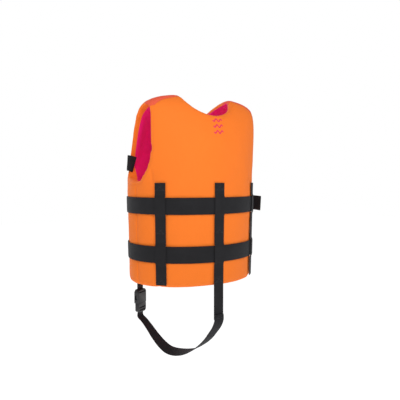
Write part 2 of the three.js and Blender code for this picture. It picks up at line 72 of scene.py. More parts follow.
camera = bpy.data.objects.new("camera", bpy.data.cameras.new("camera"))
scene.collection.objects.link(camera)
scene.camera = camera
camera.data.sensor_width = 36
CAMERA_LENS = 39.78
CAMERA_TURN = 0.5140
CAMERA_PITCH = 0.0428
camera.data.lens = CAMERA_LENS
camera.location = row(531.3, 987.5, 238.1)
looking = Vector((
    -math.sin(CAMERA_TURN) * math.cos(CAMERA_PITCH),
    -math.cos(CAMERA_TURN) * math.cos(CAMERA_PITCH),
    -math.sin(CAMERA_PITCH),
))
camera.rotation_euler = looking.to_track_quat("-Z", "Y").to_euler()


def soft_lamp(name, place, aim, size, watts, colour):
    lamp = bpy.data.objects.new(name, bpy.data.lights.new(name, "AREA"))
    scene.collection.objects.link(lamp)
    lamp.data.shape = "DISK"
    lamp.data.size = size
    lamp.data.energy = watts
    lamp.data.color = colour
    lamp.location = place
    lamp.rotation_euler = (aim - place).to_track_quat("-Z", "Y").to_euler()


middle = row(0, 0, 200)
soft_lamp("key_lamp", row(450, 1050, 1000), middle, 0.9, 10.2, (1.0, 0.99, 0.965))
soft_lamp("fill_lamp", row(-1500, 900, 500), middle, 1.6, 3, (1.0, 0.99, 0.98))
soft_lamp("front_lamp", row(300, -1900, 900), middle, 1.8, 18, (1.0, 1.0, 1.0))

AIR_LIGHT = 0.34
world = bpy.data.worlds.new("studio_air")
scene.world = world
world.use_nodes = True
air = world.node_tree
air.nodes.clear()
air_out = air.nodes.new("ShaderNodeOutputWorld")
seen_air = air.nodes.new("ShaderNodeBackground")
seen_air.inputs["Strength"].default_value = 1.0  # what the camera sees behind the jacket
lighting_air = air.nodes.new("ShaderNodeBackground")
lighting_air.inputs["Strength"].default_value = AIR_LIGHT
air_path = air.nodes.new("ShaderNodeLightPath")
air_mix = air.nodes.new("ShaderNodeMixShader")
air.links.new(air_path.outputs["Is Camera Ray"], air_mix.inputs[0])
air.links.new(lighting_air.outputs[0], air_mix.inputs[1])
air.links.new(seen_air.outputs[0], air_mix.inputs[2])
air.links.new(air_mix.outputs[0], air_out.inputs["Surface"])
for sky in (seen_air, lighting_air):
    sky.inputs["Color"].default_value = (1, 1, 1, 1)


def new_object(name, mesh):
    obj = bpy.data.objects.new(name, mesh)
    scene.collection.objects.link(obj)
    return obj


def mesh_from(name, points, faces):
    mesh = bpy.data.meshes.new(name)
    mesh.from_pydata([tuple(p) for p in points], [], faces)
    mesh.update()
    return mesh


def set_inputs(node, values):
    for key, value in values.items():
        node.inputs[key].default_value = value


FLOOR_DROP = 1.15
FLOOR_HALF = 14
FLOOR_GLOW = 0.76
floor_z = HEM_Z - FLOOR_DROP
floor = new_object("studio_floor", mesh_from("studio_floor", [
    (-FLOOR_HALF, -FLOOR_HALF, floor_z), (FLOOR_HALF, -FLOOR_HALF, floor_z),
    (FLOOR_HALF, FLOOR_HALF, floor_z), (-FLOOR_HALF, FLOOR_HALF, floor_z),
], [(0, 1, 2, 3)]))
floor_paint = bpy.data.materials.new("studio_floor")
floor_paint.use_nodes = True
floor_shader = floor_paint.node_tree.nodes["Principled BSDF"]
set_inputs(floor_shader, {"Base Color": (0.86, 0.86, 0.86, 1), "Roughness": 0.9,
                          "Emission Color": (1, 1, 1, 1), "Emission Strength": FLOOR_GLOW})
floor.data.materials.append(floor_paint)

# ---- Crotch strap ---------------------------------------------------------------------------
# 25 mm black polyester webbing. It is sewn to the tab at centre back, hangs in a loop, and is
# threaded through the lower half of a small buckle at the wearer's left front.
STRAP_WIDTH = 0.025
STRAP_THICKNESS = 0.0017


def distance_along(line):
    return np.r_[0, np.cumsum(np.linalg.norm(np.diff(line, axis=0), axis=1))]


def resampled(values, known, wanted):
    """Columns of values, given at known, read at wanted."""
    return np.column_stack([np.interp(wanted, known, values[:, k]) for k in range(values.shape[1])])


def densely(line, count):
    """count points evenly spaced along a line."""
    line = np.asarray(line, float)
    reach = distance_along(line)
    return resampled(line, reach, np.linspace(0, reach[-1], count))


def smooth_through(knots, steps):
    """Catmull-Rom points between the second and the second-last knot, steps to each gap."""
    line = []
    for i in range(len(knots) - 3):
        p0, p1, p2, p3 = knots[i:i + 4]
        for t in np.linspace(0, 1, steps, endpoint=False):
            line.append(0.5 * (2 * p1 + (p2 - p0) * t + (2 * p0 - 5 * p1 + 4 * p2 - p3) * t**2
                               + (3 * p1 - p0 - 3 * p2 + p3) * t**3))
    return line


def smooth_run(points, steps):
    """A smooth line through points (n x 3), evenly spaced, steps + 1 points."""
    points = np.asarray(points, float)
    knots = np.vstack([2 * points[0] - points[1], points, 2 * points[-1] - points[-2]])
    return densely([*smooth_through(knots, 24), points[-1]], steps + 1)


def unit(vectors):
    vectors = np.asarray(vectors, float)
    return vectors / np.linalg.norm(vectors, axis=-1, keepdims=True)


WEB_COLUMNS = 8
WEB_EDGE = 0.22  # half height of the thinner selvedge, as a share of the thickness


def face_outwards(mesh, triangulate=False):
    """Turn every face of a closed mesh outwards."""
    shape = bmesh.new()
    shape.from_mesh(mesh)
    bmesh.ops.recalc_face_normals(shape, faces=shape.faces)
    if triangulate:
        bmesh.ops.triangulate(shape, faces=shape.faces)
    shape.to_mesh(mesh)
    shape.free()


def soft_shaded(mesh, sharp_degrees):
    mesh.shade_smooth()
    mesh.set_sharp_from_angle(angle=math.radians(sharp_degrees))


def webbing(name, centres, across, width, thickness, bow=0.0):
    """Flat woven webbing swept along centres. across is the direction of its width at each
    centre, and bow bends the width to lie on a round body. UV holds metres along and across."""
    centres = np.asarray(centres, float)
    along = unit(np.gradient(centres, axis=0))
    across = np.asarray(across, float)
    across = unit(across - along * np.sum(across * along, axis=1, keepdims=True))
    out = np.cross(along, across)
    side = np.linspace(-0.5, 0.5, WEB_COLUMNS + 1)
    upper = [(s, 0.5 if 0 < k < WEB_COLUMNS else WEB_EDGE) for k, s in enumerate(side)]
    ring = upper + [(s, -t) for s, t in reversed(upper)]
    count = len(ring)
    points, spots = [], []
    for c, a, o, distance in zip(centres, across, out, distance_along(centres)):
        for s, t in ring:
            points.append(c + a * s * width + o * (t * thickness - bow * (2 * s) ** 2))
            spots.append((distance, s * width))
    faces = [tuple(range(count))[::-1]]
    for i in range(len(centres) - 1):
        for k in range(count):
            j = (k + 1) % count
            faces.append((i * count + k, i * count + j, (i + 1) * count + j, (i + 1) * count + k))
    faces.append(tuple(range((len(centres) - 1) * count, len(centres) * count)))
    mesh = mesh_from(name, points, faces)
    layer = mesh.uv_layers.new(name="UVMap")
    for loop in mesh.loops:
        layer.data[loop.index].uv = spots[loop.vertex_index]
    face_outwards(mesh)
    soft_shaded(mesh, 50)
    return new_object(name, mesh)


def sockets(group, inputs, outputs):
    for label, kind, value in inputs:
        made = group.interface.new_socket(label, in_out="INPUT", socket_type=kind)
        if value is not None:
            made.default_value = value
    for label, kind in outputs:
        group.interface.new_socket(label, in_out="OUTPUT", socket_type=kind)


class Wiring:
    """Short words for placing and joining shader nodes."""

    def __init__(self, tree):
        self.tree = tree

    def feed(self, node, inputs):
        """Each input gets a link or a plain value."""
        for key, value in inputs.items():
            if isinstance(value, bpy.types.NodeSocket):
                self.tree.links.new(value, node.inputs[key])
            else:
                node.inputs[key].default_value = value

    def add(self, kind, inputs=(), **settings):
        node = self.tree.nodes.new(kind)
        for key, value in settings.items():
            setattr(node, key, value)
        self.feed(node, dict(inputs))
        return node

    def math(self, operation, a, b=0.0, c=0.0):
        return self.add("ShaderNodeMath", {0: a, 1: b, 2: c}, operation=operation).outputs[0]


# Woven threads: along and across are metres over the cloth, pitch is the size of one thread.
weave = bpy.data.node_groups.new("woven_threads", "ShaderNodeTree")
sockets(weave, [
    ("Along", "NodeSocketFloat", 0.0), ("Across", "NodeSocketFloat", 0.0),
    ("Pitch Along", "NodeSocketFloat", 0.0011), ("Pitch Across", "NodeSocketFloat", 0.0022),
], [("Height", "NodeSocketFloat")])
w = Wiring(weave)
w_in = w.add("NodeGroupInput").outputs
w_out = w.add("NodeGroupOutput")
turns = w.math("DIVIDE", w_in["Along"], w_in["Pitch Along"])
cross = w.math("DIVIDE", w_in["Across"], w_in["Pitch Across"])
offset = w.math("MULTIPLY", w.math("FLOOR", cross), 0.5)
row_turn = w.math("MULTIPLY", w.math("ADD", turns, offset), math.pi)
row_wave = w.math("ABSOLUTE", w.math("SINE", row_turn))
rib_wave = w.math("ABSOLUTE", w.math("SINE", w.math("MULTIPLY", cross, math.pi)))
thread = w.math("MULTIPLY", w.math("POWER", row_wave, 0.6), w.math("POWER", rib_wave, 0.5))
w.feed(w_out, {"Height": thread})

# Slow unevenness of dye, handling and dust.
uneven = bpy.data.node_groups.new("uneven_finish", "ShaderNodeTree")
sockets(uneven, [("Size", "NodeSocketFloat", 18.0), ("Amount", "NodeSocketFloat", 0.1)],
        [("Value", "NodeSocketFloat"), ("Mask", "NodeSocketFloat")])
u = Wiring(uneven)
u_in = u.add("NodeGroupInput").outputs
u_out = u.add("NodeGroupOutput")
u_place = u.add("ShaderNodeTexCoord").outputs["Object"]
u_noise = u.add("ShaderNodeTexNoise", {"Vector": u_place, "Scale": u_in["Size"],
                                       "Detail": 5.0, "Roughness": 0.55})
centred = u.math("SUBTRACT", u_noise.outputs["Fac"], 0.5)
u.feed(u_out, {"Value": u.math("MULTIPLY_ADD", centred, u_in["Amount"], 1.0),
               "Mask": u_noise.outputs["Fac"]})


def group_node(wiring, group, inputs):
    return wiring.add("ShaderNodeGroup", inputs, node_tree=group)


def tinted(wiring, colour, factor):
    """colour darkened or lightened by factor."""
    return wiring.add("ShaderNodeMix", {0: 1.0, 6: (*colour, 1), 7: factor},
                      data_type="RGBA", blend_type="MULTIPLY").outputs[2]


def new_material(name):
    material = bpy.data.materials.new(name)
    material.use_nodes = True
    return material, Wiring(material.node_tree), material.node_tree.nodes["Principled BSDF"]


WEBBING_BLACK = (0.0135, 0.0132, 0.0155)
webbing_black, m, shader = new_material("webbing_black")
spot = m.add("ShaderNodeSeparateXYZ", {0: m.add("ShaderNodeUVMap", uv_map="UVMap").outputs[0]}).outputs
threads = group_node(m, weave, {"Along": spot[0], "Across": spot[1],
                                "Pitch Along": 0.0013, "Pitch Across": 0.0026}).outputs["Height"]
patches = group_node(m, uneven, {"Size": 30.0, "Amount": 0.7})
# painted shade: the black darkens in the gaps between threads, times slow random patches of tone
gap_shade_and_patches = m.math("MULTIPLY", m.math("MULTIPLY_ADD", threads, 0.7, 0.55), patches.outputs["Value"])
bump = m.add("ShaderNodeBump", {"Height": threads, "Strength": 0.75, "Distance": 0.0005})
m.feed(shader, {
    "Base Color": tinted(m, WEBBING_BLACK, gap_shade_and_patches), "Normal": bump.outputs[0],
    "Roughness": m.math("MULTIPLY_ADD", threads, -0.15, 0.78), "Specular IOR Level": 0.2,
    "Sheen Weight": 0.06, "Sheen Roughness": 0.4, "Sheen Tint": (0.5, 0.52, 0.58, 1),
})


def black_webbing(name, *shape, slot="webbing"):
    """A run of the black webbing, always in webbing_black; slot is not used."""
    piece = webbing(name, *shape)
    piece.data.materials.append(webbing_black)
    return piece



# the same route as the CAD strap's, which starts straight down the back at its own Y
STRAP_ROUTE = [
    (0, None, -68), (0, None, -82), (2.5, 129.5, -98), (6.5, 119, -114), (12, 105, -133),
    (19.5, 86, -152), (29, 62, -170), (39, 37, -181.5), (50, 10, -188), (59, -11.5, -187.5),
    (67.5, -32, -178.5), (76, -53, -163), (84, -74, -144.5), (91, -91, -130),
]
strap_start_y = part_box("crotch_strap")[1].y - STRAP_THICKNESS / 2
strap_line = [Vector((x / 1000, strap_start_y if y is None else TORSO_Y + y / 1000, HEM_Z + z / 1000))
              for x, y, z in STRAP_ROUTE]
# the keeper at the front left, and the tab and buckle under it, stand at this ellipse angle
CHEST_HALF = 0.163
CHEST_HALF_DEPTH = 0.136
HEM_HALF = 0.158
HEM_HALF_DEPTH = 0.1318
FRONT_DEGREES = 142.6
BELT_OFFSET = 0.0012  # middle of the webbing, off the cover
front_keeper = math.radians(FRONT_DEGREES)
tab_out = unit([math.sin(front_keeper) / CHEST_HALF, math.cos(front_keeper) / CHEST_HALF_DEPTH, 0])
tab_across = np.array([-tab_out[1], tab_out[0], 0])
tab_x = HEM_HALF * math.sin(front_keeper) + BELT_OFFSET * tab_out[0]
tab_y = TORSO_Y + HEM_HALF_DEPTH * math.cos(front_keeper) + BELT_OFFSET * tab_out[1]
strap_top_z = HEM_Z - 0.1083
strap_line += [Vector((tab_x, tab_y, strap_top_z - 0.012)), Vector((tab_x, tab_y, strap_top_z))]
STRAP_STEPS = 150
strap_path = smooth_run([tuple(p) for p in strap_line], STRAP_STEPS)
share = np.clip(np.linspace(-0.08, 1.04, STRAP_STEPS + 1), 0, 1)[:, None]
strap_across = (1 - share) * np.array([1.0, 0, 0]) + share * tab_across
# the loop leans a little on its side at the bottom, as a loose strap does
LEAN, LEAN_AT, LEAN_SPREAD = 0.62, 0.58, 0.2
along_strap = np.linspace(0, 1, STRAP_STEPS + 1)
lean = np.exp(-((along_strap - LEAN_AT) / LEAN_SPREAD) ** 2)[:, None] * LEAN
strap_across = strap_across + lean * np.array([0, 0, -1.0])
crotch_strap = black_webbing("crotch_strap_webbing", strap_path, strap_across, STRAP_WIDTH,
                             STRAP_THICKNESS)
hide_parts("crotch_strap")
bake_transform(crotch_strap)

# ---- Padded body ----------------------------------------------------------------------------
# Slabs of closed-cell foam, 30 mm thick at the back, fronts and shoulders and 20 mm at the sides,
# in a smooth stretch cover. One body form is swollen by cloth pressure, then parted at the seams.
DEPTH_RATIO = 136 / 163
STRAIGHT = 0.240
HEIGHT = 0.442
CREST = 0.058
BODY_THICK = 0.030
SIDE_THICK = 0.020
ZIP_SLOT = 0.0074
VOXEL = 0.0033
PRESSURE = 4.0
CLOTH_FRAMES = 12
HOLD_LEAST = 0.02
SWELL_CAP = 0.0034
ARM_THINNING = 0.013
NECK_THINNING = 0.012
EDGE_THICK = 0.015
SIDE_DEGREES = 50  # the uprights at the sides of the back
GIRTH_RADIUS = 0.15  # turns an angle into metres round the body
SHOULDER_BACK_Y = round((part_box("shoulder_left_cover")[1].y - TORSO_Y) * 1000)
chest_low, chest_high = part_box("chest_strap_left")
CHEST_Z = (chest_low.z + chest_high.z) / 2 - HEM_Z

# outlines as (Y, Z) from the side and (Z, X) from the front, in jacket millimetres
ARMHOLE = [(30, 238), (46, 250), (58, 269), (66.5, 300), (70, 332), (69, 371), (66, 398), (54, 412),
           (34, 410), (8, 396), (-20, 372), (-45, 338), (-57, 304), (-57, 268), (-42, 249), (-8, 241)]
NECK_BACK = [(388.5, 0), (391, 20), (397, 36), (406.5, 50), (420, 61), (436, 67), (480, 78),
             (480, -78), (436, -67), (420, -61), (406.5, -50), (397, -36), (391, -20)]
NECK_FRONT = [(345, 0), (352, 15), (371, 35), (393, 49), (413, 57), (436, 66), (480, 78),
              (480, -78), (436, -66), (413, -57), (393, -49), (371, -35), (352, -15)]
REAR_SEAM_Y = 72.6
REAR_SEAM = [(REAR_SEAM_Y, -40), (REAR_SEAM_Y, 236), (69, 262), (61, 284), (50, 300)]
FRONT_SEAM = [(FRONT_SEAM_Y, -40), (FRONT_SEAM_Y, 300)]
SHOULDER_BACK_SEAM = [(SHOULDER_BACK_Y, 480), (SHOULDER_BACK_Y, 408), (58, 402)]
SHOULDER_FRONT_SEAM = [(46, 398), (46, 480)]
BELT_HEIGHTS = {"lower": 0.0724, "mid": 0.182, "chest": CHEST_Z}


def section(z, depth):
    """Half width, front and back half depth, and middle of the torso form at height z."""
    outer = HEM_HALF + (CHEST_HALF - HEM_HALF) * np.minimum(z, STRAIGHT) / STRAIGHT
    closing = np.clip((z - STRAIGHT) / (HEIGHT - depth - STRAIGHT), 0, 1)
    half_width = (outer - depth) * (1 - 0.045 * closing**2) * (1 - closing**14) ** 0.45
    half_depth = outer * DEPTH_RATIO - depth
    return half_width, half_depth * (1 - closing**4) ** 0.6, half_depth * (1 - closing**2.5) ** 0.7, \
        CREST * closing**1.8


def torso_point(angle, z, depth):
    """Points of the torso form in the row frame. angle runs from centre back to the left."""
    angle, z, depth = np.broadcast_arrays(np.asarray(angle, float), z, depth)
    half_width, front, back, centre = section(z, depth)
    reach = np.cos(angle)
    y = centre + np.where(reach > 0, back, front) * reach
    return np.stack([half_width * np.sin(angle), TORSO_Y + y, HEM_Z + z], -1)


def torso_normal(angle):
    return unit(np.stack([np.sin(angle) / CHEST_HALF, np.cos(angle) / (CHEST_HALF * DEPTH_RATIO),
                          np.zeros_like(angle)], -1))


def side_ease(angle):
    """1 at the side panels and 0 at the front and back."""
    turn = np.abs((np.degrees(angle) + 180) % 360 - 180)
    return np.clip((turn - 48) / 10, 0, 1) * np.clip((90 - turn) / 10, 0, 1)


def distance_to(line, points):
    """Distance of 2D points from an open line of 2D points."""
    best = np.full(len(points), 1e9)
    for a, b in zip(np.asarray(line[:-1], float), np.asarray(line[1:], float)):
        along = b - a
        t = np.clip(((points - a) @ along) / (along @ along), 0, 1)[:, None]
        best = np.minimum(best, np.linalg.norm(points - a - t * along, axis=1))
    return best


def inside(outline, points):
    """Whether 2D points lie within a closed outline."""
    hit = np.zeros(len(points), bool)
    outline = np.asarray(outline, float)
    for (ax, ay), (bx, by) in zip(outline, np.roll(outline, -1, axis=0)):
        spans = (ay > points[:, 1]) != (by > points[:, 1])
        cross = ax + (points[:, 1] - ay) / np.where(by == ay, 1e-9, by - ay) * (bx - ax)
        hit ^= spans & (points[:, 0] < cross)
    return hit


def opening_ease(points):
    """1 at the armhole and neck edges, falling to 0 some 30 mm away from them."""
    x, y, z = ((points - np.array([0, TORSO_Y, HEM_Z])) * 1000).T
    side_view, front_view = np.column_stack([y, z]), np.column_stack([z, x])
    arm = distance_to([*ARMHOLE, ARMHOLE[0]], side_view) * ~inside(ARMHOLE, side_view)
    arm = np.where(np.abs(x) > 60, arm, 999)
    arm_height = np.clip((z - 247) / 28, 0, 1)
    near = np.full(len(points), 999.0)
    for outline, chosen in ((NECK_BACK, y > 50), (NECK_FRONT, y <= 50)):
        gap = distance_to([*outline, outline[0]], front_view) * ~inside(outline, front_view)
        near = np.where(chosen, np.minimum(near, gap), near)
    return np.exp(-(arm / 17) ** 2) * arm_height, np.exp(-(near / 15) ** 2)


def wall_depth(angles, heights, short=0.0):
    """Depth of the lining's face below the cover's, less short, all round at the given heights."""
    depth = BODY_THICK - (BODY_THICK - SIDE_THICK) * side_ease(angles)
    arm, neck = opening_ease(torso_point(angles, heights, depth))
    thin = np.maximum(arm * ARM_THINNING, neck * NECK_THINNING)
    return depth - np.minimum(thin, depth - EDGE_THICK) - short


BELOW_HEM = -0.02
CREST_RINGS = 90


def form_mesh(name, depth_of, around=300):
    """A closed torso form, its skin depth_of(angles, heights) inside the cover's face."""
    angles = np.linspace(0, 2 * np.pi, around, endpoint=False)
    closing = 1 - (1 - np.linspace(0, 1, CREST_RINGS)) ** 1.7
    closing[-1] = 0.9996  # the last ring stays open enough to be capped
    low = np.full(around, BELOW_HEM)
    points = [torso_point(angles, low, depth_of(angles, low))]
    for z in np.linspace(0.19, STRAIGHT, 14)[:-1]:
        level = np.full(around, z)
        points.append(torso_point(angles, level, depth_of(angles, level)))
    for c in closing:
        level = STRAIGHT + c * (HEIGHT - BODY_THICK - STRAIGHT)
        depth = depth_of(angles, np.full(around, level))
        points.append(torso_point(angles, STRAIGHT + c * (HEIGHT - depth - STRAIGHT), depth))
    rings = len(points)
    points = np.concatenate(points)
    faces = []
    for level in range(rings - 1):
        for i in range(around):
            a, b = level * around + i, level * around + (i + 1) % around
            faces.append((a, a + around, b + around, b))
    faces.append(tuple(range(around)))
    faces.append(tuple(range((rings - 1) * around, rings * around))[::-1])
    mesh = mesh_from(name, points, faces)
    face_outwards(mesh)
    return new_object(name, mesh)


def prism(name, outline, axis, low, high):
    """A closed outline, n x 2 in jacket millimetres, pushed along X or Y."""
    outline = np.asarray(outline, float)
    points = []
    for end in (low, high):
        for a, b in outline:
            points.append(row(end, a, b) if axis == "x" else row(b, end, a))
    count = len(outline)
    faces = [tuple(range(count)), tuple(range(count, 2 * count))[::-1]]
    faces += [(i, (i + 1) % count, count + (i + 1) % count, count + i) for i in range(count)]
    mesh = mesh_from(name, points, faces)
    face_outwards(mesh, triangulate=True)
    return new_object(name, mesh)


def block(name, low, high):
    (_, y0, z0), (_, y1, z1) = low, high
    return prism(name, [(y0, z0), (y1, z0), (y1, z1), (y0, z1)], "x", low[0], high[0])


def settle(obj):
    """The object's modifiers made into plain mesh."""
    evaluated = obj.evaluated_get(bpy.context.evaluated_depsgraph_get())
    mesh = bpy.data.meshes.new_from_object(evaluated)
    obj.modifiers.clear()
    obj.data = mesh
    return obj


def carve(obj, tool, operation):
    cut = obj.modifiers.new("carve", "BOOLEAN")
    cut.solver = "MANIFOLD"
    cut.operation = operation
    cut.object = tool
    return settle(obj)


def duplicate(obj, name):
    return new_object(name, obj.data.copy())


def discard(*objs):
    for obj in objs:
        bpy.data.objects.remove(obj, do_unlink=True)


def rounded(outline):
    """A closed smooth line through the outline's points."""
    outline = np.asarray(outline, float)
    return np.array(smooth_through(np.vstack([outline[-1:], outline, outline[:2]]), 6))


body = form_mesh("body_form", lambda angles, heights: np.full_like(angles, 0.0004))
hollow = form_mesh("hollow_form", lambda angles, heights: wall_depth(angles, heights, 0.0008))
arms = [prism("arm_tool", rounded(ARMHOLE), "x", low, high) for low, high in ((97, 260), (-260, -97))]
neck_back = prism("neck_tool", NECK_BACK, "y", 57, 300)
neck_front = prism("neck_tool", NECK_FRONT, "y", -300, 57.5)
hem_cut = block("hem_tool", (-300, -300, -60), (300, 300, -2.2))
zip_cut = block("zip_tool", (-ZIP_SLOT * 500, -300, -60), (ZIP_SLOT * 500, 0, 500))
tools = (hollow, *arms, neck_back, neck_front, hem_cut, zip_cut)
for tool in tools:
    carve(body, tool, "DIFFERENCE")
discard(*tools)

remesh = body.modifiers.new("remesh", "REMESH")
remesh.mode = "VOXEL"
remesh.voxel_size = VOXEL
def smoothed(obj, rounds):
    smooth = obj.modifiers.new("smooth", "SMOOTH")
    smooth.factor = 0.5
    smooth.iterations = rounds
    settle(obj)


smoothed(body, 28)


def read_vectors(items, key):
    flat = np.empty(len(items) * 3, np.float32)
    items.foreach_get(key, flat)
    return flat.reshape(-1, 3).astype(float)


def coordinates(mesh):
    return read_vectors(mesh.vertices, "co")


def set_coordinates(mesh, points):
    mesh.vertices.foreach_set("co", np.asarray(points, np.float32).ravel())
    mesh.update()


def normals_of(mesh):
    return read_vectors(mesh.vertex_normals, "vector")


def seam_distance(points):
    """Millimetres from each body point to the nearest seam between panels."""
    y, z = (points[:, 1] - TORSO_Y) * 1000, (points[:, 2] - HEM_Z) * 1000
    side_view = np.column_stack([y, z])
    near = np.full(len(points), 1e9)
    for line in (REAR_SEAM, FRONT_SEAM, SHOULDER_BACK_SEAM, SHOULDER_FRONT_SEAM):
        near = np.minimum(near, distance_to(line, side_view))
    edge = distance_to([*ARMHOLE, ARMHOLE[0]], side_view)
    return near + np.clip(14 - edge, 0, 14) * (z < 330)


def angle_of(points):
    return np.arctan2(points[:, 0] / CHEST_HALF,
                      (points[:, 1] - TORSO_Y) / (CHEST_HALF * DEPTH_RATIO))


def outward_share(points):
    """How far a point lies towards the cover's face: 1 on it, 0 on the lining."""
    face = torso_point(angle_of(points), np.minimum(points[:, 2] - HEM_Z, STRAIGHT), 0)
    inward = np.linalg.norm(face[:, :2] - points[:, :2], axis=1)
    return np.clip(1 - inward / 0.012, 0, 1)


def belt_press(points):
    """1 under the middle of a belt, falling to 0 beyond its edges."""
    height = points[:, 2] - HEM_Z
    press = np.zeros(len(points))
    for name, z in BELT_HEIGHTS.items():
        wide = 1 / (1 + np.exp((np.abs(height - z) - 0.020) / 0.0016))
        if name == "chest":
            wide = wide * (points[:, 1] < TORSO_Y - 0.03)
        press = np.maximum(press, wide)
    return press * outward_share(points)


held = body.vertex_groups.new(name="held")
start = coordinates(body.data)
hold = np.maximum(np.exp(-(seam_distance(start) / 7) ** 2), belt_press(start))
for index, value in enumerate(hold):
    if value > HOLD_LEAST:
        held.add([index], float(min(value, 1)), "REPLACE")
cloth = body.modifiers.new("swell", "CLOTH")
for key, value in {"quality": 4, "mass": 0.3, "tension_stiffness": 18, "compression_stiffness": 18,
                   "bending_stiffness": 1.2, "use_pressure": True,
                   "uniform_pressure_force": PRESSURE, "vertex_group_mass": "held"}.items():
    setattr(cloth.settings, key, value)
cloth.settings.effector_weights.gravity = 0
cloth.collision_settings.use_collision = False
for frame_number in range(1, CLOTH_FRAMES + 1):
    scene.frame_set(frame_number)
settle(body)
scene.frame_set(1)
swollen = coordinates(body.data)
move = swollen - start
size = np.linalg.norm(move, axis=1, keepdims=True)
move *= np.minimum(1, SWELL_CAP / np.maximum(size, 1e-9))
set_coordinates(body.data, start + move)
smoothed(body, 4)

finer = body.modifiers.new("finer", "SUBSURF")
finer.levels = 1
finer.render_levels = 1
settle(body)

# sewn seams draw the surface in, belts press it, and the foam rolls a little between them
def away_from_openings(points):
    """0 at the armhole and neck edges and 1 well away from them."""
    arm, neck = opening_ease(points)
    return 1 - np.maximum(arm, neck)


points = coordinates(body.data)
inward = np.exp(-(seam_distance(points) / 2.6) ** 2) * 0.0015
inward += np.exp(-(seam_distance(points) / 9) ** 2) * 0.0007
inward += belt_press(points) * 0.0009
inward *= away_from_openings(points)
set_coordinates(body.data, points - normals_of(body.data) * inward[:, None])

# loose cover over soft foam: slow hollows, and fullness between the uprights and the belts
points = coordinates(body.data)
angle = angle_of(points)
height = points[:, 2] - HEM_Z
upright = np.zeros(len(points))
for degrees in (0, SIDE_DEGREES, -SIDE_DEGREES, FRONT_DEGREES, -FRONT_DEGREES):
    turn = np.abs((np.degrees(angle) - degrees + 180) % 360 - 180)
    gap = turn * math.radians(1) * GIRTH_RADIUS
    upright = np.maximum(upright, 1 / (1 + np.exp((gap - 0.0135) / 0.0015)))
upright *= (height < 0.236) * outward_share(points)
ripple = np.array([noise.noise(Vector(p) * 17) + 0.5 * noise.noise(Vector(p) * 41) for p in points])
move = (ripple * 0.0015 * outward_share(points) - upright * 0.0007) * away_from_openings(points)
set_coordinates(body.data, points + normals_of(body.data) * move[:, None])

# the hem hangs a little lower at the sides
points = coordinates(body.data)
low = np.clip(1 - (points[:, 2] - HEM_Z) / 0.03, 0, 1.1)
points[:, 2] -= 0.0035 * low * (np.abs(points[:, 0]) / HEM_HALF) ** 2
set_coordinates(body.data, points)
body_tree = BVHTree.FromObject(body, bpy.context.evaluated_depsgraph_get())


def knit_material(name, colour, pitch, shade_amount, sheen, sheen_tint):
    """Fine stretch cloth whose ribs run up the jacket, read from the torso's round form."""
    material, m, shader = new_material(name)
    object_place = m.add("ShaderNodeTexCoord").outputs["Object"]
    place = m.add("ShaderNodeSeparateXYZ", {0: object_place}).outputs
    angle = m.math("ARCTAN2", place[0], m.math("SUBTRACT", place[1], TORSO_Y))
    girth = m.math("MULTIPLY", angle, GIRTH_RADIUS)
    threads = group_node(m, weave, {"Along": place[2], "Across": girth,
                                    "Pitch Along": pitch, "Pitch Across": pitch}).outputs["Height"]
    patches = group_node(m, uneven, {"Size": 7.0, "Amount": shade_amount})
    fleck = group_node(m, uneven, {"Size": 420.0, "Amount": shade_amount * 0.9})
    tone = m.math("MULTIPLY", patches.outputs["Value"], fleck.outputs["Value"])
    # painted shade: the cloth darkens a little in the gaps between the knit's threads, on top of the random
    # tone
    tone = m.math("MULTIPLY", tone, m.math("MULTIPLY_ADD", threads, 0.1, 0.94))
    creases = m.add("ShaderNodeTexNoise", {"Scale": 26.0, "Detail": 3.0, "Roughness": 0.5,
                                           "Vector": object_place})
    soft = m.add("ShaderNodeBump", {"Height": creases.outputs["Fac"], "Strength": 0.3, "Distance": 0.004})
    knit = m.add("ShaderNodeBump", {"Height": threads, "Strength": 0.35, "Distance": 0.0003,
                                    "Normal": soft.outputs[0]})
    m.feed(shader, {
        "Base Color": tinted(m, colour, tone), "Normal": knit.outputs[0],
        "Roughness": m.math("MULTIPLY_ADD", fleck.outputs["Mask"], 0.14, 0.62),
        "Specular IOR Level": 0.16, "Sheen Weight": sheen, "Sheen Roughness": 0.45,
        "Sheen Tint": (*sheen_tint, 1),
    })
    return material


cover_orange = knit_material("cover_orange", (0.92, 0.2, 0.021), 0.0009, 0.09, 0.03, (1.0, 0.6, 0.35))
shoulder_coral = knit_material("shoulder_coral", (0.80, 0.108, 0.055), 0.0009, 0.09, 0.03, (1.0, 0.5, 0.45))
lining_pink = knit_material("lining_pink", (0.88, 0.010, 0.20), 0.0012, 0.1, 0.08, (1.0, 0.3, 0.55))

LINING_DEPTH = 0.005
NECK_COVER_BACK = 0.006
NECK_COVER_FRONT = 0.0012


def split_depth(angles, heights):
    """Where cover meets lining: near the lining's face, but just below the cover at the neck."""
    depth = wall_depth(angles, heights, LINING_DEPTH)
    neck = opening_ease(torso_point(angles, heights, depth))[1]
    high = np.clip((heights - 0.33) / 0.02, 0, 1)
    cover_depth = np.where(np.abs(angles - np.pi) < np.radians(145), NECK_COVER_FRONT, NECK_COVER_BACK)
    return depth + (cover_depth - depth) * np.clip((neck - 0.5) / 0.3, 0, 1) * high


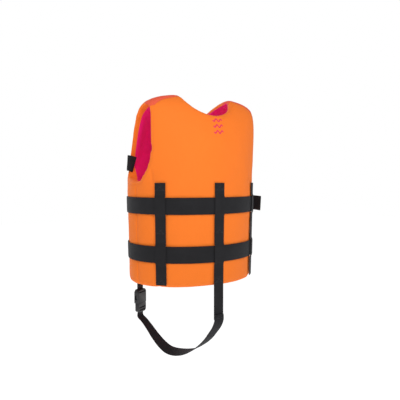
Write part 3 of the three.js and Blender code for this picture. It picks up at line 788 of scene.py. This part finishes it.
lining_form = form_mesh("lining_form", split_depth)
BACK = [*REAR_SEAM[:4], (54, 296), (54, 402), (58, 402), (SHOULDER_BACK_Y, 408), (SHOULDER_BACK_Y, 490),
        (400, 490), (400, -40)]
SIDE = [FRONT_SEAM[0], *REAR_SEAM[:4], (54, 296), FRONT_SEAM[1]]
FRONT = [(-400, -40), *FRONT_SEAM, (46, 398), (46, 490), (-400, 490)]
SHOULDER = [(46, 398), (54, 402), (58, 402), (SHOULDER_BACK_Y, 408), (SHOULDER_BACK_Y, 490),
            (46, 490)]
PANELS = [
    ("back", BACK, -400, 400, cover_orange, "cover_fabric"),
    ("side_left", SIDE, 60, 400, cover_orange, "cover_fabric"),
    ("side_right", SIDE, -400, -60, cover_orange, "cover_fabric"),
    ("front_left", FRONT, 0, 400, cover_orange, "cover_fabric"),
    ("front_right", FRONT, -400, 0, cover_orange, "cover_fabric"),
    ("shoulder_left", SHOULDER, 0, 400, shoulder_coral, "shoulder_fabric"),
    ("shoulder_right", SHOULDER, -400, 0, shoulder_coral, "shoulder_fabric"),
]
for name, outline, low, high, cloth_material, slot_name in PANELS:
    tool = prism("panel_tool", outline, "x", low, high)
    panel = carve(duplicate(body, f"{name}_panel"), tool, "INTERSECT")
    cover = carve(duplicate(panel, f"{name}_padded_cover"), lining_form, "DIFFERENCE")
    lining = carve(duplicate(panel, f"{name}_padded_lining"), lining_form, "INTERSECT")
    discard(tool, panel)
    for piece, material, slot_word, nodes in (
        (cover, cloth_material, slot_name, (f"{name}_cover", f"{name}_foam")),
        (lining, lining_pink, "lining", (f"{name}_lining",)),
    ):
        piece.data.materials.clear()
        piece.data.materials.append(material)
        soft_shaded(piece.data, 38)
        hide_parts(*nodes)
        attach(piece, "jacket")
discard(lining_form, body)

# ---- Belts, keepers and chest strap ---------------------------------------------------------
# 38 mm webbing belts run right round the jacket under 25 mm uprights that are sewn to the cover.
BELT_WIDTH = 0.038
WEB_THICK = 0.0016
KEEPER_OFFSET = 0.0034
TAIL_OFFSET = 0.0058
TAIL_STEPS = 110


def up_the_cover(angles, height):
    """The way up along the cover at each angle."""
    above, below = (torso_point(angles, height + step, -BELT_OFFSET) for step in (0.01, -0.01))
    return above - below


def belt(name, start_degrees, end_degrees, height):
    angles = np.radians(np.arange(start_degrees, end_degrees + 0.01, 2.0))
    centres = torso_point(angles, height, -BELT_OFFSET)
    return black_webbing(name, centres, up_the_cover(angles, height), BELT_WIDTH, WEB_THICK)


# angles run from centre back to the wearer's left; the front is at 180
for name, tail_end in (("mid", 270), ("lower", 232)):
    z = BELT_HEIGHTS[name]
    height = z * 1000
    main = belt(f"{name}_belt_around", -142, 170, z)
    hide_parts(f"{name}_belt")
    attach(main, "jacket")
    lead = belt(f"{name}_belt_lead", 184, 220, z)
    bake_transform(lead)
    angles = np.radians(np.arange(189, tail_end + 0.01, 2.0))
    tail_line = [tuple(p) for p in torso_point(angles, z, -TAIL_OFFSET)]
    if name == "mid":
        tail_line += [tuple(row(-171, 22, height)), tuple(row(-175.5, 40, height - 1)),
                      tuple(row(-178, 55, height - 2))]
    tail_path = smooth_run(tail_line, TAIL_STEPS)
    upward = np.tile([0, 0, 1.0], (TAIL_STEPS + 1, 1))
    tail = black_webbing(f"{name}_belt_spare_end", tail_path, upward, BELT_WIDTH, WEB_THICK)
    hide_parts(f"{name}_belt_tail")
    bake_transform(tail)


webbing_seams = []


def box_stitch(centre, across, up, outward, wide, tall):
    """The outline and the cross of a sewn box, as runs for the stitches."""
    corners = [centre + across * a * wide / 2 + up * b * tall / 2
               for a, b in ((-1, -1), (1, -1), (1, 1), (-1, 1), (-1, -1), (1, 1), (1, -1), (-1, 1))]
    for a, b in zip(corners[:-1], corners[1:]):
        line = np.linspace(a, b, 8)
        webbing_seams.append((line, np.tile(outward, (8, 1))))


def keeper(name, degrees, foot, node):
    """An upright of webbing, sewn flat to the cover and bridging the belts below the chest."""
    angle = math.radians(degrees)
    heights = np.linspace(foot, 0.234, 120)
    lift = np.zeros_like(heights)
    for z in (BELT_HEIGHTS["lower"], BELT_HEIGHTS["mid"]):
        lift = np.maximum(lift, 1 / (1 + np.exp((np.abs(heights - z) - 0.0215) / 0.0012)))
    offset = BELT_OFFSET + (KEEPER_OFFSET - BELT_OFFSET) * lift
    centres = torso_point(angle, np.maximum(heights, 0), -offset)
    centres[:, 2] = HEM_Z + heights
    outward = torso_normal(np.array([angle]))[0]
    across = np.tile(np.cross(outward, [0, 0, 1.0]), (len(heights), 1))
    bow = STRAP_WIDTH**2 / 8 / GIRTH_RADIUS * (1 if foot >= 0 else 0.7)
    piece = black_webbing(name, centres, across, STRAP_WIDTH, WEB_THICK, -bow)
    for height in (0.2245, 0.127, 0.0135):
        centre = torso_point(angle, height, -BELT_OFFSET - WEB_THICK / 2 + 0.00005)
        box_stitch(centre, across[0], np.array([0, 0, 1.0]), outward, 0.017, 0.013)
    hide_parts(node)
    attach(piece, "jacket")


keeper("back_centre_upright", 0, -0.080, "keeper_back_centre")
keeper("back_left_upright", SIDE_DEGREES, 0.003, "keeper_back_left")
keeper("back_right_upright", -SIDE_DEGREES, 0.003, "keeper_back_right")
keeper("front_left_upright", FRONT_DEGREES, -0.0497, "keeper_front_left")
keeper("front_right_upright", -FRONT_DEGREES, 0.003, "keeper_front_right")

# The chest strap crosses the fronts only; its ends fold round the armhole edges and are sewn in.
CHEST_STRAP_END = 114.5  # degrees, where the armhole's edge is
for side, sign, inner in (("left", 1, 170), ("right", -1, 176)):
    turns = np.radians(np.linspace(inner, CHEST_STRAP_END, 60)) * sign
    z = BELT_HEIGHTS["chest"]
    face = torso_point(turns, z, -BELT_OFFSET)
    last = face[-1]
    fold = [(last[0] - sign * 0.0022, last[1] + 0.0042, last[2] - 0.0006),
            (last[0] - sign * 0.0075, last[1] + 0.0056, last[2] - 0.002),
            (last[0] - sign * 0.0165, last[1] + 0.0050, last[2] - 0.0042)]
    line = smooth_run([tuple(p) for p in face] + fold, 120)
    rise = up_the_cover(turns, z)
    rise = np.vstack([rise, np.tile(rise[-1], (3, 1))])
    width_way = resampled(rise, np.arange(len(rise)), np.linspace(0, len(rise) - 1, len(line)))
    strap = black_webbing(f"chest_strap_{side}_webbing", line, width_way, BELT_WIDTH, WEB_THICK)
    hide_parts(f"chest_strap_{side}")
    if sign > 0:
        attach(strap, "jacket")
    else:
        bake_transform(strap)

# ---- Zip ------------------------------------------------------------------------------------
# A separating zip closes the fronts: woven tapes, moulded teeth, a slider with a pull, and a stop.
TAPE_INNER = -0.0003
TAPE_WIDTH = 0.0144
TOOTH_PITCH = 0.0028
ZIP_LOW = 0.0035
ZIP_HIGH = 0.341
ZIP_STEPS = 170
TAPE_THICK = 0.0008
TOOTH_SIDE = 0.0016  # middle of each row of teeth from the centre line
zip_heights = np.linspace(ZIP_LOW, ZIP_HIGH, ZIP_STEPS)
front_line = torso_point(np.pi, zip_heights, -0.0007)
for side, sign in (("left", 1), ("right", -1)):
    tape_line = front_line.copy()
    tape_line[:, 0] += sign * (TAPE_INNER + TAPE_WIDTH / 2)
    tape_line[:, 1] += 0.0003
    tape = black_webbing(f"zip_tape_{side}_woven", tape_line, np.tile([1.0, 0, 0], (ZIP_STEPS, 1)),
                         TAPE_WIDTH, TAPE_THICK, slot="zip_tape")
    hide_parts(f"zip_tape_{side}")
    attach(tape, "jacket")

plastic_black, m, shader = new_material("moulded_black_plastic")
PLASTIC_BLACK = (0.0145, 0.0145, 0.0165)
patches = group_node(m, uneven, {"Size": 60.0, "Amount": 0.5})
grain = group_node(m, uneven, {"Size": 1400.0, "Amount": 0.3})
plastic_bump = m.add("ShaderNodeBump", {"Height": grain.outputs["Mask"], "Strength": 0.25,
                                        "Distance": 0.0002})
m.feed(shader, {"Base Color": tinted(m, PLASTIC_BLACK, patches.outputs["Value"]),
                "Roughness": m.math("MULTIPLY_ADD", patches.outputs["Mask"], 0.18, 0.34),
                "Normal": plastic_bump.outputs[0]})

# Geometry Nodes lay a small shape at an even pitch along a line, turned to follow it and to face
# the way that the line's "outward" attribute gives.
run_tree = bpy.data.node_groups.new("shapes_along_a_line", "GeometryNodeTree")
sockets(run_tree, [
    ("Line", "NodeSocketGeometry", None), ("Shape", "NodeSocketObject", None),
    ("Pitch", "NodeSocketFloat", 0.003), ("Finish", "NodeSocketMaterial", None),
], [("Shapes", "NodeSocketGeometry")])
g = Wiring(run_tree)
g_in = g.add("NodeGroupInput").outputs
g_out = g.add("NodeGroupOutput")
as_curve = g.add("GeometryNodeMeshToCurve", {"Mesh": g_in["Line"]})
spaced = g.add("GeometryNodeResampleCurve", {"Curve": as_curve.outputs[0], "Length": g_in["Pitch"]},
               mode="LENGTH")
tangent = g.add("GeometryNodeInputTangent").outputs[0]
facing = g.add("GeometryNodeInputNamedAttribute", {"Name": "outward"}, data_type="FLOAT_VECTOR").outputs[0]
turn_up = g.add("FunctionNodeAlignRotationToVector", {"Vector": facing}, axis="Z")
turn_along = g.add("FunctionNodeAlignRotationToVector", {"Rotation": turn_up.outputs[0], "Vector": tangent},
                   axis="X", pivot_axis="Z")
shape = g.add("GeometryNodeObjectInfo", {"Object": g_in["Shape"]})
laid = g.add("GeometryNodeInstanceOnPoints", {
    "Points": spaced.outputs[0], "Instance": shape.outputs["Geometry"], "Rotation": turn_along.outputs[0]})
solid = g.add("GeometryNodeRealizeInstances", {"Geometry": laid.outputs[0]})
finished = g.add("GeometryNodeSetMaterial", {"Geometry": solid.outputs[0], "Material": g_in["Finish"]})
g.feed(g_out, {"Shapes": finished.outputs[0]})


def shapes_along(name, runs, shape_object, pitch, material):
    """One mesh of shapes laid along the runs, each an (n x 3 points, n x 3 outward) pair."""
    points, edges, outward = [], [], []
    for line, out in runs:
        start = len(points)
        points += [tuple(p) for p in line]
        outward += [tuple(o) for o in out]
        edges += [(start + i, start + i + 1) for i in range(len(line) - 1)]
    mesh = bpy.data.meshes.new(name)
    mesh.from_pydata(points, edges, [])
    attribute = mesh.attributes.new("outward", "FLOAT_VECTOR", "POINT")
    attribute.data.foreach_set("vector", np.asarray(outward, np.float32).ravel())
    obj = new_object(name, mesh)
    modifier = obj.modifiers.new("run", "NODES")
    modifier.node_group = run_tree
    values = {"Shape": shape_object, "Pitch": pitch, "Finish": material}
    for item in run_tree.interface.items_tree:
        if item.in_out == "INPUT" and item.name in values:
            modifier[item.identifier] = values[item.name]
    settle(obj)
    soft_shaded(obj.data, 40)
    return obj


def small_solid(name, size, bevel):
    """A tiny bevelled block, length along X, width along Y, height along Z."""
    shape = bmesh.new()
    bmesh.ops.create_cube(shape, size=1.0, matrix=Matrix.Diagonal((*size, 1.0)))
    bmesh.ops.bevel(shape, geom=shape.edges[:], offset=bevel, segments=1, affect="EDGES")
    mesh = bpy.data.meshes.new(name)
    shape.to_mesh(mesh)
    shape.free()
    obj = new_object(name, mesh)
    obj.hide_render = True
    return obj


tooth = small_solid("zip_tooth_shape", (0.0017, 0.0031, 0.0024), 0.0004)
tooth_heights = np.linspace(ZIP_LOW + 0.006, ZIP_HIGH - 0.001, ZIP_STEPS)
for side, sign, shift in (("left", 1, 0.0), ("right", -1, 0.5)):
    line = torso_point(np.pi, tooth_heights + shift * TOOTH_PITCH, -0.0009)
    line[:, 0] += sign * TOOTH_SIDE
    out = np.tile([0, -1.0, 0], (ZIP_STEPS, 1))
    teeth = shapes_along(f"zip_teeth_{side}_moulded", [(line, out)], tooth, TOOTH_PITCH, plastic_black)
    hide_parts(f"zip_teeth_{side}")
    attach(teeth, "jacket")
discard(tooth)


def moulding(name, node, bevel, body_name, segments=2):
    """The CAD shape with its flat faces joined and its edges rounded like a moulding's."""
    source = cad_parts[node]
    shape = bmesh.new()
    shape.from_mesh(source.data)
    bmesh.ops.remove_doubles(shape, verts=shape.verts, dist=2e-6)
    bmesh.ops.dissolve_limit(shape, angle_limit=math.radians(1.5), verts=shape.verts, edges=shape.edges)
    mesh = bpy.data.meshes.new(name)
    shape.to_mesh(mesh)
    shape.free()
    mesh.materials.clear()
    mesh.materials.append(plastic_black)
    obj = new_object(name, mesh)
    soften = obj.modifiers.new("soften", "BEVEL")
    soften.width = bevel
    soften.segments = segments
    soften.limit_method = "ANGLE"
    soften.angle_limit = math.radians(35)
    settle(obj)
    soft_shaded(obj.data, 40)
    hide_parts(node)
    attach(obj, body_name)


moulding("zip_slider_body", "zip_slider", 0.0006, "zip_slider")
moulding("zip_pull_tab", "zip_pull", 0.0005, "zip_pull")
moulding("zip_bottom_stop_block", "zip_bottom_stop", 0.0004, "jacket")

# ---- Stitching ------------------------------------------------------------------------------
# Bonded thread: orange rows top-stitch the cover beside every seam and edge, and black boxes
# with a cross sew down the webbing. Each stitch is a short proud thread.
def thread_material(name, colour):
    material, m, shader = new_material(name)
    strands = group_node(m, uneven, {"Size": 900.0, "Amount": 0.5})
    m.feed(shader, {"Base Color": tinted(m, colour, strands.outputs["Value"]),
                    "Roughness": m.math("MULTIPLY_ADD", strands.outputs["Mask"], 0.2, 0.4)})
    return material


def on_cover(starts, ways):
    """Where rays first meet the cover, and which way it faces there."""
    spots, out = [], []
    for start, way in zip(starts, ways):
        place, normal, _, _ = body_tree.ray_cast(Vector(start), Vector(way))
        if place is not None:
            spots.append(tuple(place))
            out.append(tuple(normal))
    return np.array(spots), np.array(out)


def moved_out(line, distance):
    """A closed line of 2D points moved off its own inside."""
    line = np.asarray(line, float)
    step = unit(np.roll(line, -1, axis=0) - np.roll(line, 1, axis=0))
    normal = np.column_stack([step[:, 1], -step[:, 0]])
    grown = line + normal * distance
    centre = line.mean(axis=0)
    if np.linalg.norm(grown - centre, axis=1).sum() < np.linalg.norm(line - centre, axis=1).sum():
        grown = line - normal * distance
    return grown


SEAM_INSET = 5  # millimetres from a seam to its row of stitches
EDGE_INSET = 9
cover_seams = []


def sew_on(starts, way):
    cover_seams.append(on_cover(starts, [way] * len(starts)))


arm_row = moved_out(rounded(ARMHOLE), EDGE_INSET)
arm_row = np.vstack([arm_row, arm_row[:1]])
for sign in (1, -1):
    for line in (
        densely([(REAR_SEAM_Y, 3), *REAR_SEAM[1:3]], 90) + [SEAM_INSET, 0],
        densely([(FRONT_SEAM_Y, 3), (FRONT_SEAM_Y, 228)], 90) - [SEAM_INSET, 0],
        densely([(FRONT_SEAM_Y, 3), (FRONT_SEAM_Y, 228)], 90) + [SEAM_INSET, 0],
        densely(arm_row, 300),
    ):
        sew_on([row(sign * 260, y, z) for y, z in line], (-sign, 0, 0))
    sew_on([row(sign * 20, -300, z) for z in np.linspace(5, 333, 120)], (0, 1, 0))
    for y in (SHOULDER_BACK_Y + 4, 42):
        sew_on([row(sign * x, y, 520) for x in np.linspace(80, 122, 24)], (0, 0, -1))
for outline, side in ((NECK_BACK, 1), (NECK_FRONT, -1)):
    heights, widths = np.array(outline[:5]).T
    neck_row = [row(x, side * 300, np.interp(abs(x), widths, heights) - EDGE_INSET)
                for x in np.linspace(-50, 50, 70)]
    parts = [neck_row]
    if side < 0:
        # the zip parts the front row in two
        parts = [[spot for spot in neck_row if spot.x * way > 0.02] for way in (-1, 1)]
    for part in parts:
        sew_on(part, (0, -side, 0))
turns = np.radians(np.linspace(-171, 171, 420))
hem_starts = torso_point(turns, 0.0065, -0.05)
cover_seams.append(on_cover(hem_starts, -torso_normal(turns)))

box_stitch(np.array(strap_path[2]) + [0, 0.00095, 0], np.array([1.0, 0, 0]), np.array([0, 0, 1.0]),
           np.array([0, 1.0, 0]), 0.018, 0.008)

stitch = small_solid("stitch_shape", (0.0024, 0.00055, 0.0004), 0.00012)
STITCH_PITCH = 0.0034
for name, runs, colour, slot_word in (
    ("cover_topstitching", cover_seams, (0.80, 0.16, 0.018), "cover_fabric"),
    ("webbing_box_stitching", webbing_seams, (0.03, 0.03, 0.034), "webbing"),
):
    long_runs = [run for run in runs if len(run[0]) > 2]
    rows = shapes_along(name, long_runs, stitch, STITCH_PITCH, thread_material(f"{name}_thread", colour))
    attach(rows, "jacket")
discard(stitch)

# ---- Print on the back ----------------------------------------------------------------------
# Three small waves one above the other, screen-printed in pink under the back of the neck.
print_pink, m, shader = new_material("print_pink")
ink = group_node(m, uneven, {"Size": 500.0, "Amount": 0.35})
m.feed(shader, {"Base Color": tinted(m, (0.76, 0.012, 0.085), ink.outputs["Value"]),
                "Roughness": m.math("MULTIPLY_ADD", ink.outputs["Mask"], 0.2, 0.45)})
WAVE_HALF, WAVE_RISE, HALF_PERIOD = 12, 3.1, 6
for number, height in enumerate((376, 362.5, 349), 1):
    starts = [row(x, 300, height + WAVE_RISE * math.sin(x * math.pi / HALF_PERIOD))
              for x in np.linspace(-WAVE_HALF, WAVE_HALF, 49)]
    line, facing = on_cover(starts, [(0, -1, 0)] * len(starts))
    slope = unit(np.gradient(line, axis=0))
    wave = webbing(f"back_print_wave_{number}", line + facing * 0.0002, np.cross(facing, slope),
                   0.0027, 0.0003)
    wave.data.materials.append(print_pink)
    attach(wave, "jacket")

# ---- Buckles --------------------------------------------------------------------------------
# Black acetal side-release buckles: three of 38 mm on the front and one of 25 mm on the crotch
# strap. The male half's two prongs snap into windows in the female half.
for name in ("chest", "mid", "lower", "crotch"):
    moulding(f"{name}_buckle_socket", f"{name}_buckle_female", 0.0011, "jacket", 3)
    moulding(f"{name}_buckle_plug", f"{name}_buckle_male", 0.0007, f"{name}_male")
    for prong in ("a", "b"):
        moulding(f"{name}_buckle_arm_{prong}", f"{name}_buckle_prong_{prong}", 0.0005,
                 f"{name}_prong_{prong}")

RIB_PITCH = 0.0024
RIB_SHARE = 0.62  # of the webbing's width


def squared(along, outward):
    """Both ways at unit length, outward turned square to along."""
    along, outward = unit(along), unit(outward)
    return along, unit(outward - along * (outward @ along))


def grip_ribs(name, origin, along, outward, webbing_width):
    """Moulded ribs, square to the webbing, on the top of both halves."""
    along, outward = squared(along, outward)
    for half, first, last, top, rides in (("plug", -0.0095, -0.0018, 0.01025, f"{name}_male"),
                                          ("socket", 0.0035, 0.0088, 0.01265, "jacket")):
        line = np.array([np.array(origin) + along * u + outward * top for u in np.linspace(first, last, 6)])
        rib = small_solid("rib_shape", (0.0011, webbing_width * RIB_SHARE, 0.0009), 0.00028)
        ribs = shapes_along(f"{name}_buckle_{half}_ribs", [(line, np.tile(outward, (6, 1)))], rib,
                            RIB_PITCH, plastic_black)
        discard(rib)
        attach(ribs, rides)


def threading(name, origin, along, outward, webbing_width, under):
    """Webbing over the socket's bar and over the plug's middle bar, its ends `under` mm out."""
    along, outward = squared(along, outward)
    across = np.cross(outward, along)
    for half, first, last, top, rides in (("plug", -18.8, -11.9, 10.95, f"{name}_male"),
                                          ("socket", 28.8, 34.95, 13.35, "jacket")):
        bend, corner = 1.1, 0.35
        route = [(first, under), (first, top - bend), (first + corner, top - corner), (first + bend, top),
                 (last - bend, top), (last - corner, top - corner), (last, top - bend), (last, under)]
        line = densely([np.array(origin) + (along * u + outward * w) / 1000 for u, w in route], 70)
        turn = black_webbing(f"{name}_{half}_threading", line, np.tile(across, (70, 1)), webbing_width,
                             0.0013)
        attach(turn, rides)


SLOT_ROOM = 0.0006
for name, z in BELT_HEIGHTS.items():
    foot, head = torso_point(np.pi, z - 0.006, 0), torso_point(np.pi, z + 0.006, 0)
    facing = np.array([0, -0.012, head[1] - foot[1]])
    centre = torso_point(np.pi, z, 0)
    grip_ribs(name, centre, (1.0, 0, 0), facing, BELT_WIDTH)
    threading(name, centre, (1.0, 0, 0), facing, BELT_WIDTH - SLOT_ROOM, 2.6)
tab_top = np.array([tab_x, tab_y, HEM_Z - 0.084]) - tab_out * 0.00555
grip_ribs("crotch", tab_top, (0, 0, 1.0), tab_out, STRAP_WIDTH)
threading("crotch", tab_top, (0, 0, 1.0), tab_out, STRAP_WIDTH - SLOT_ROOM, -2.1)
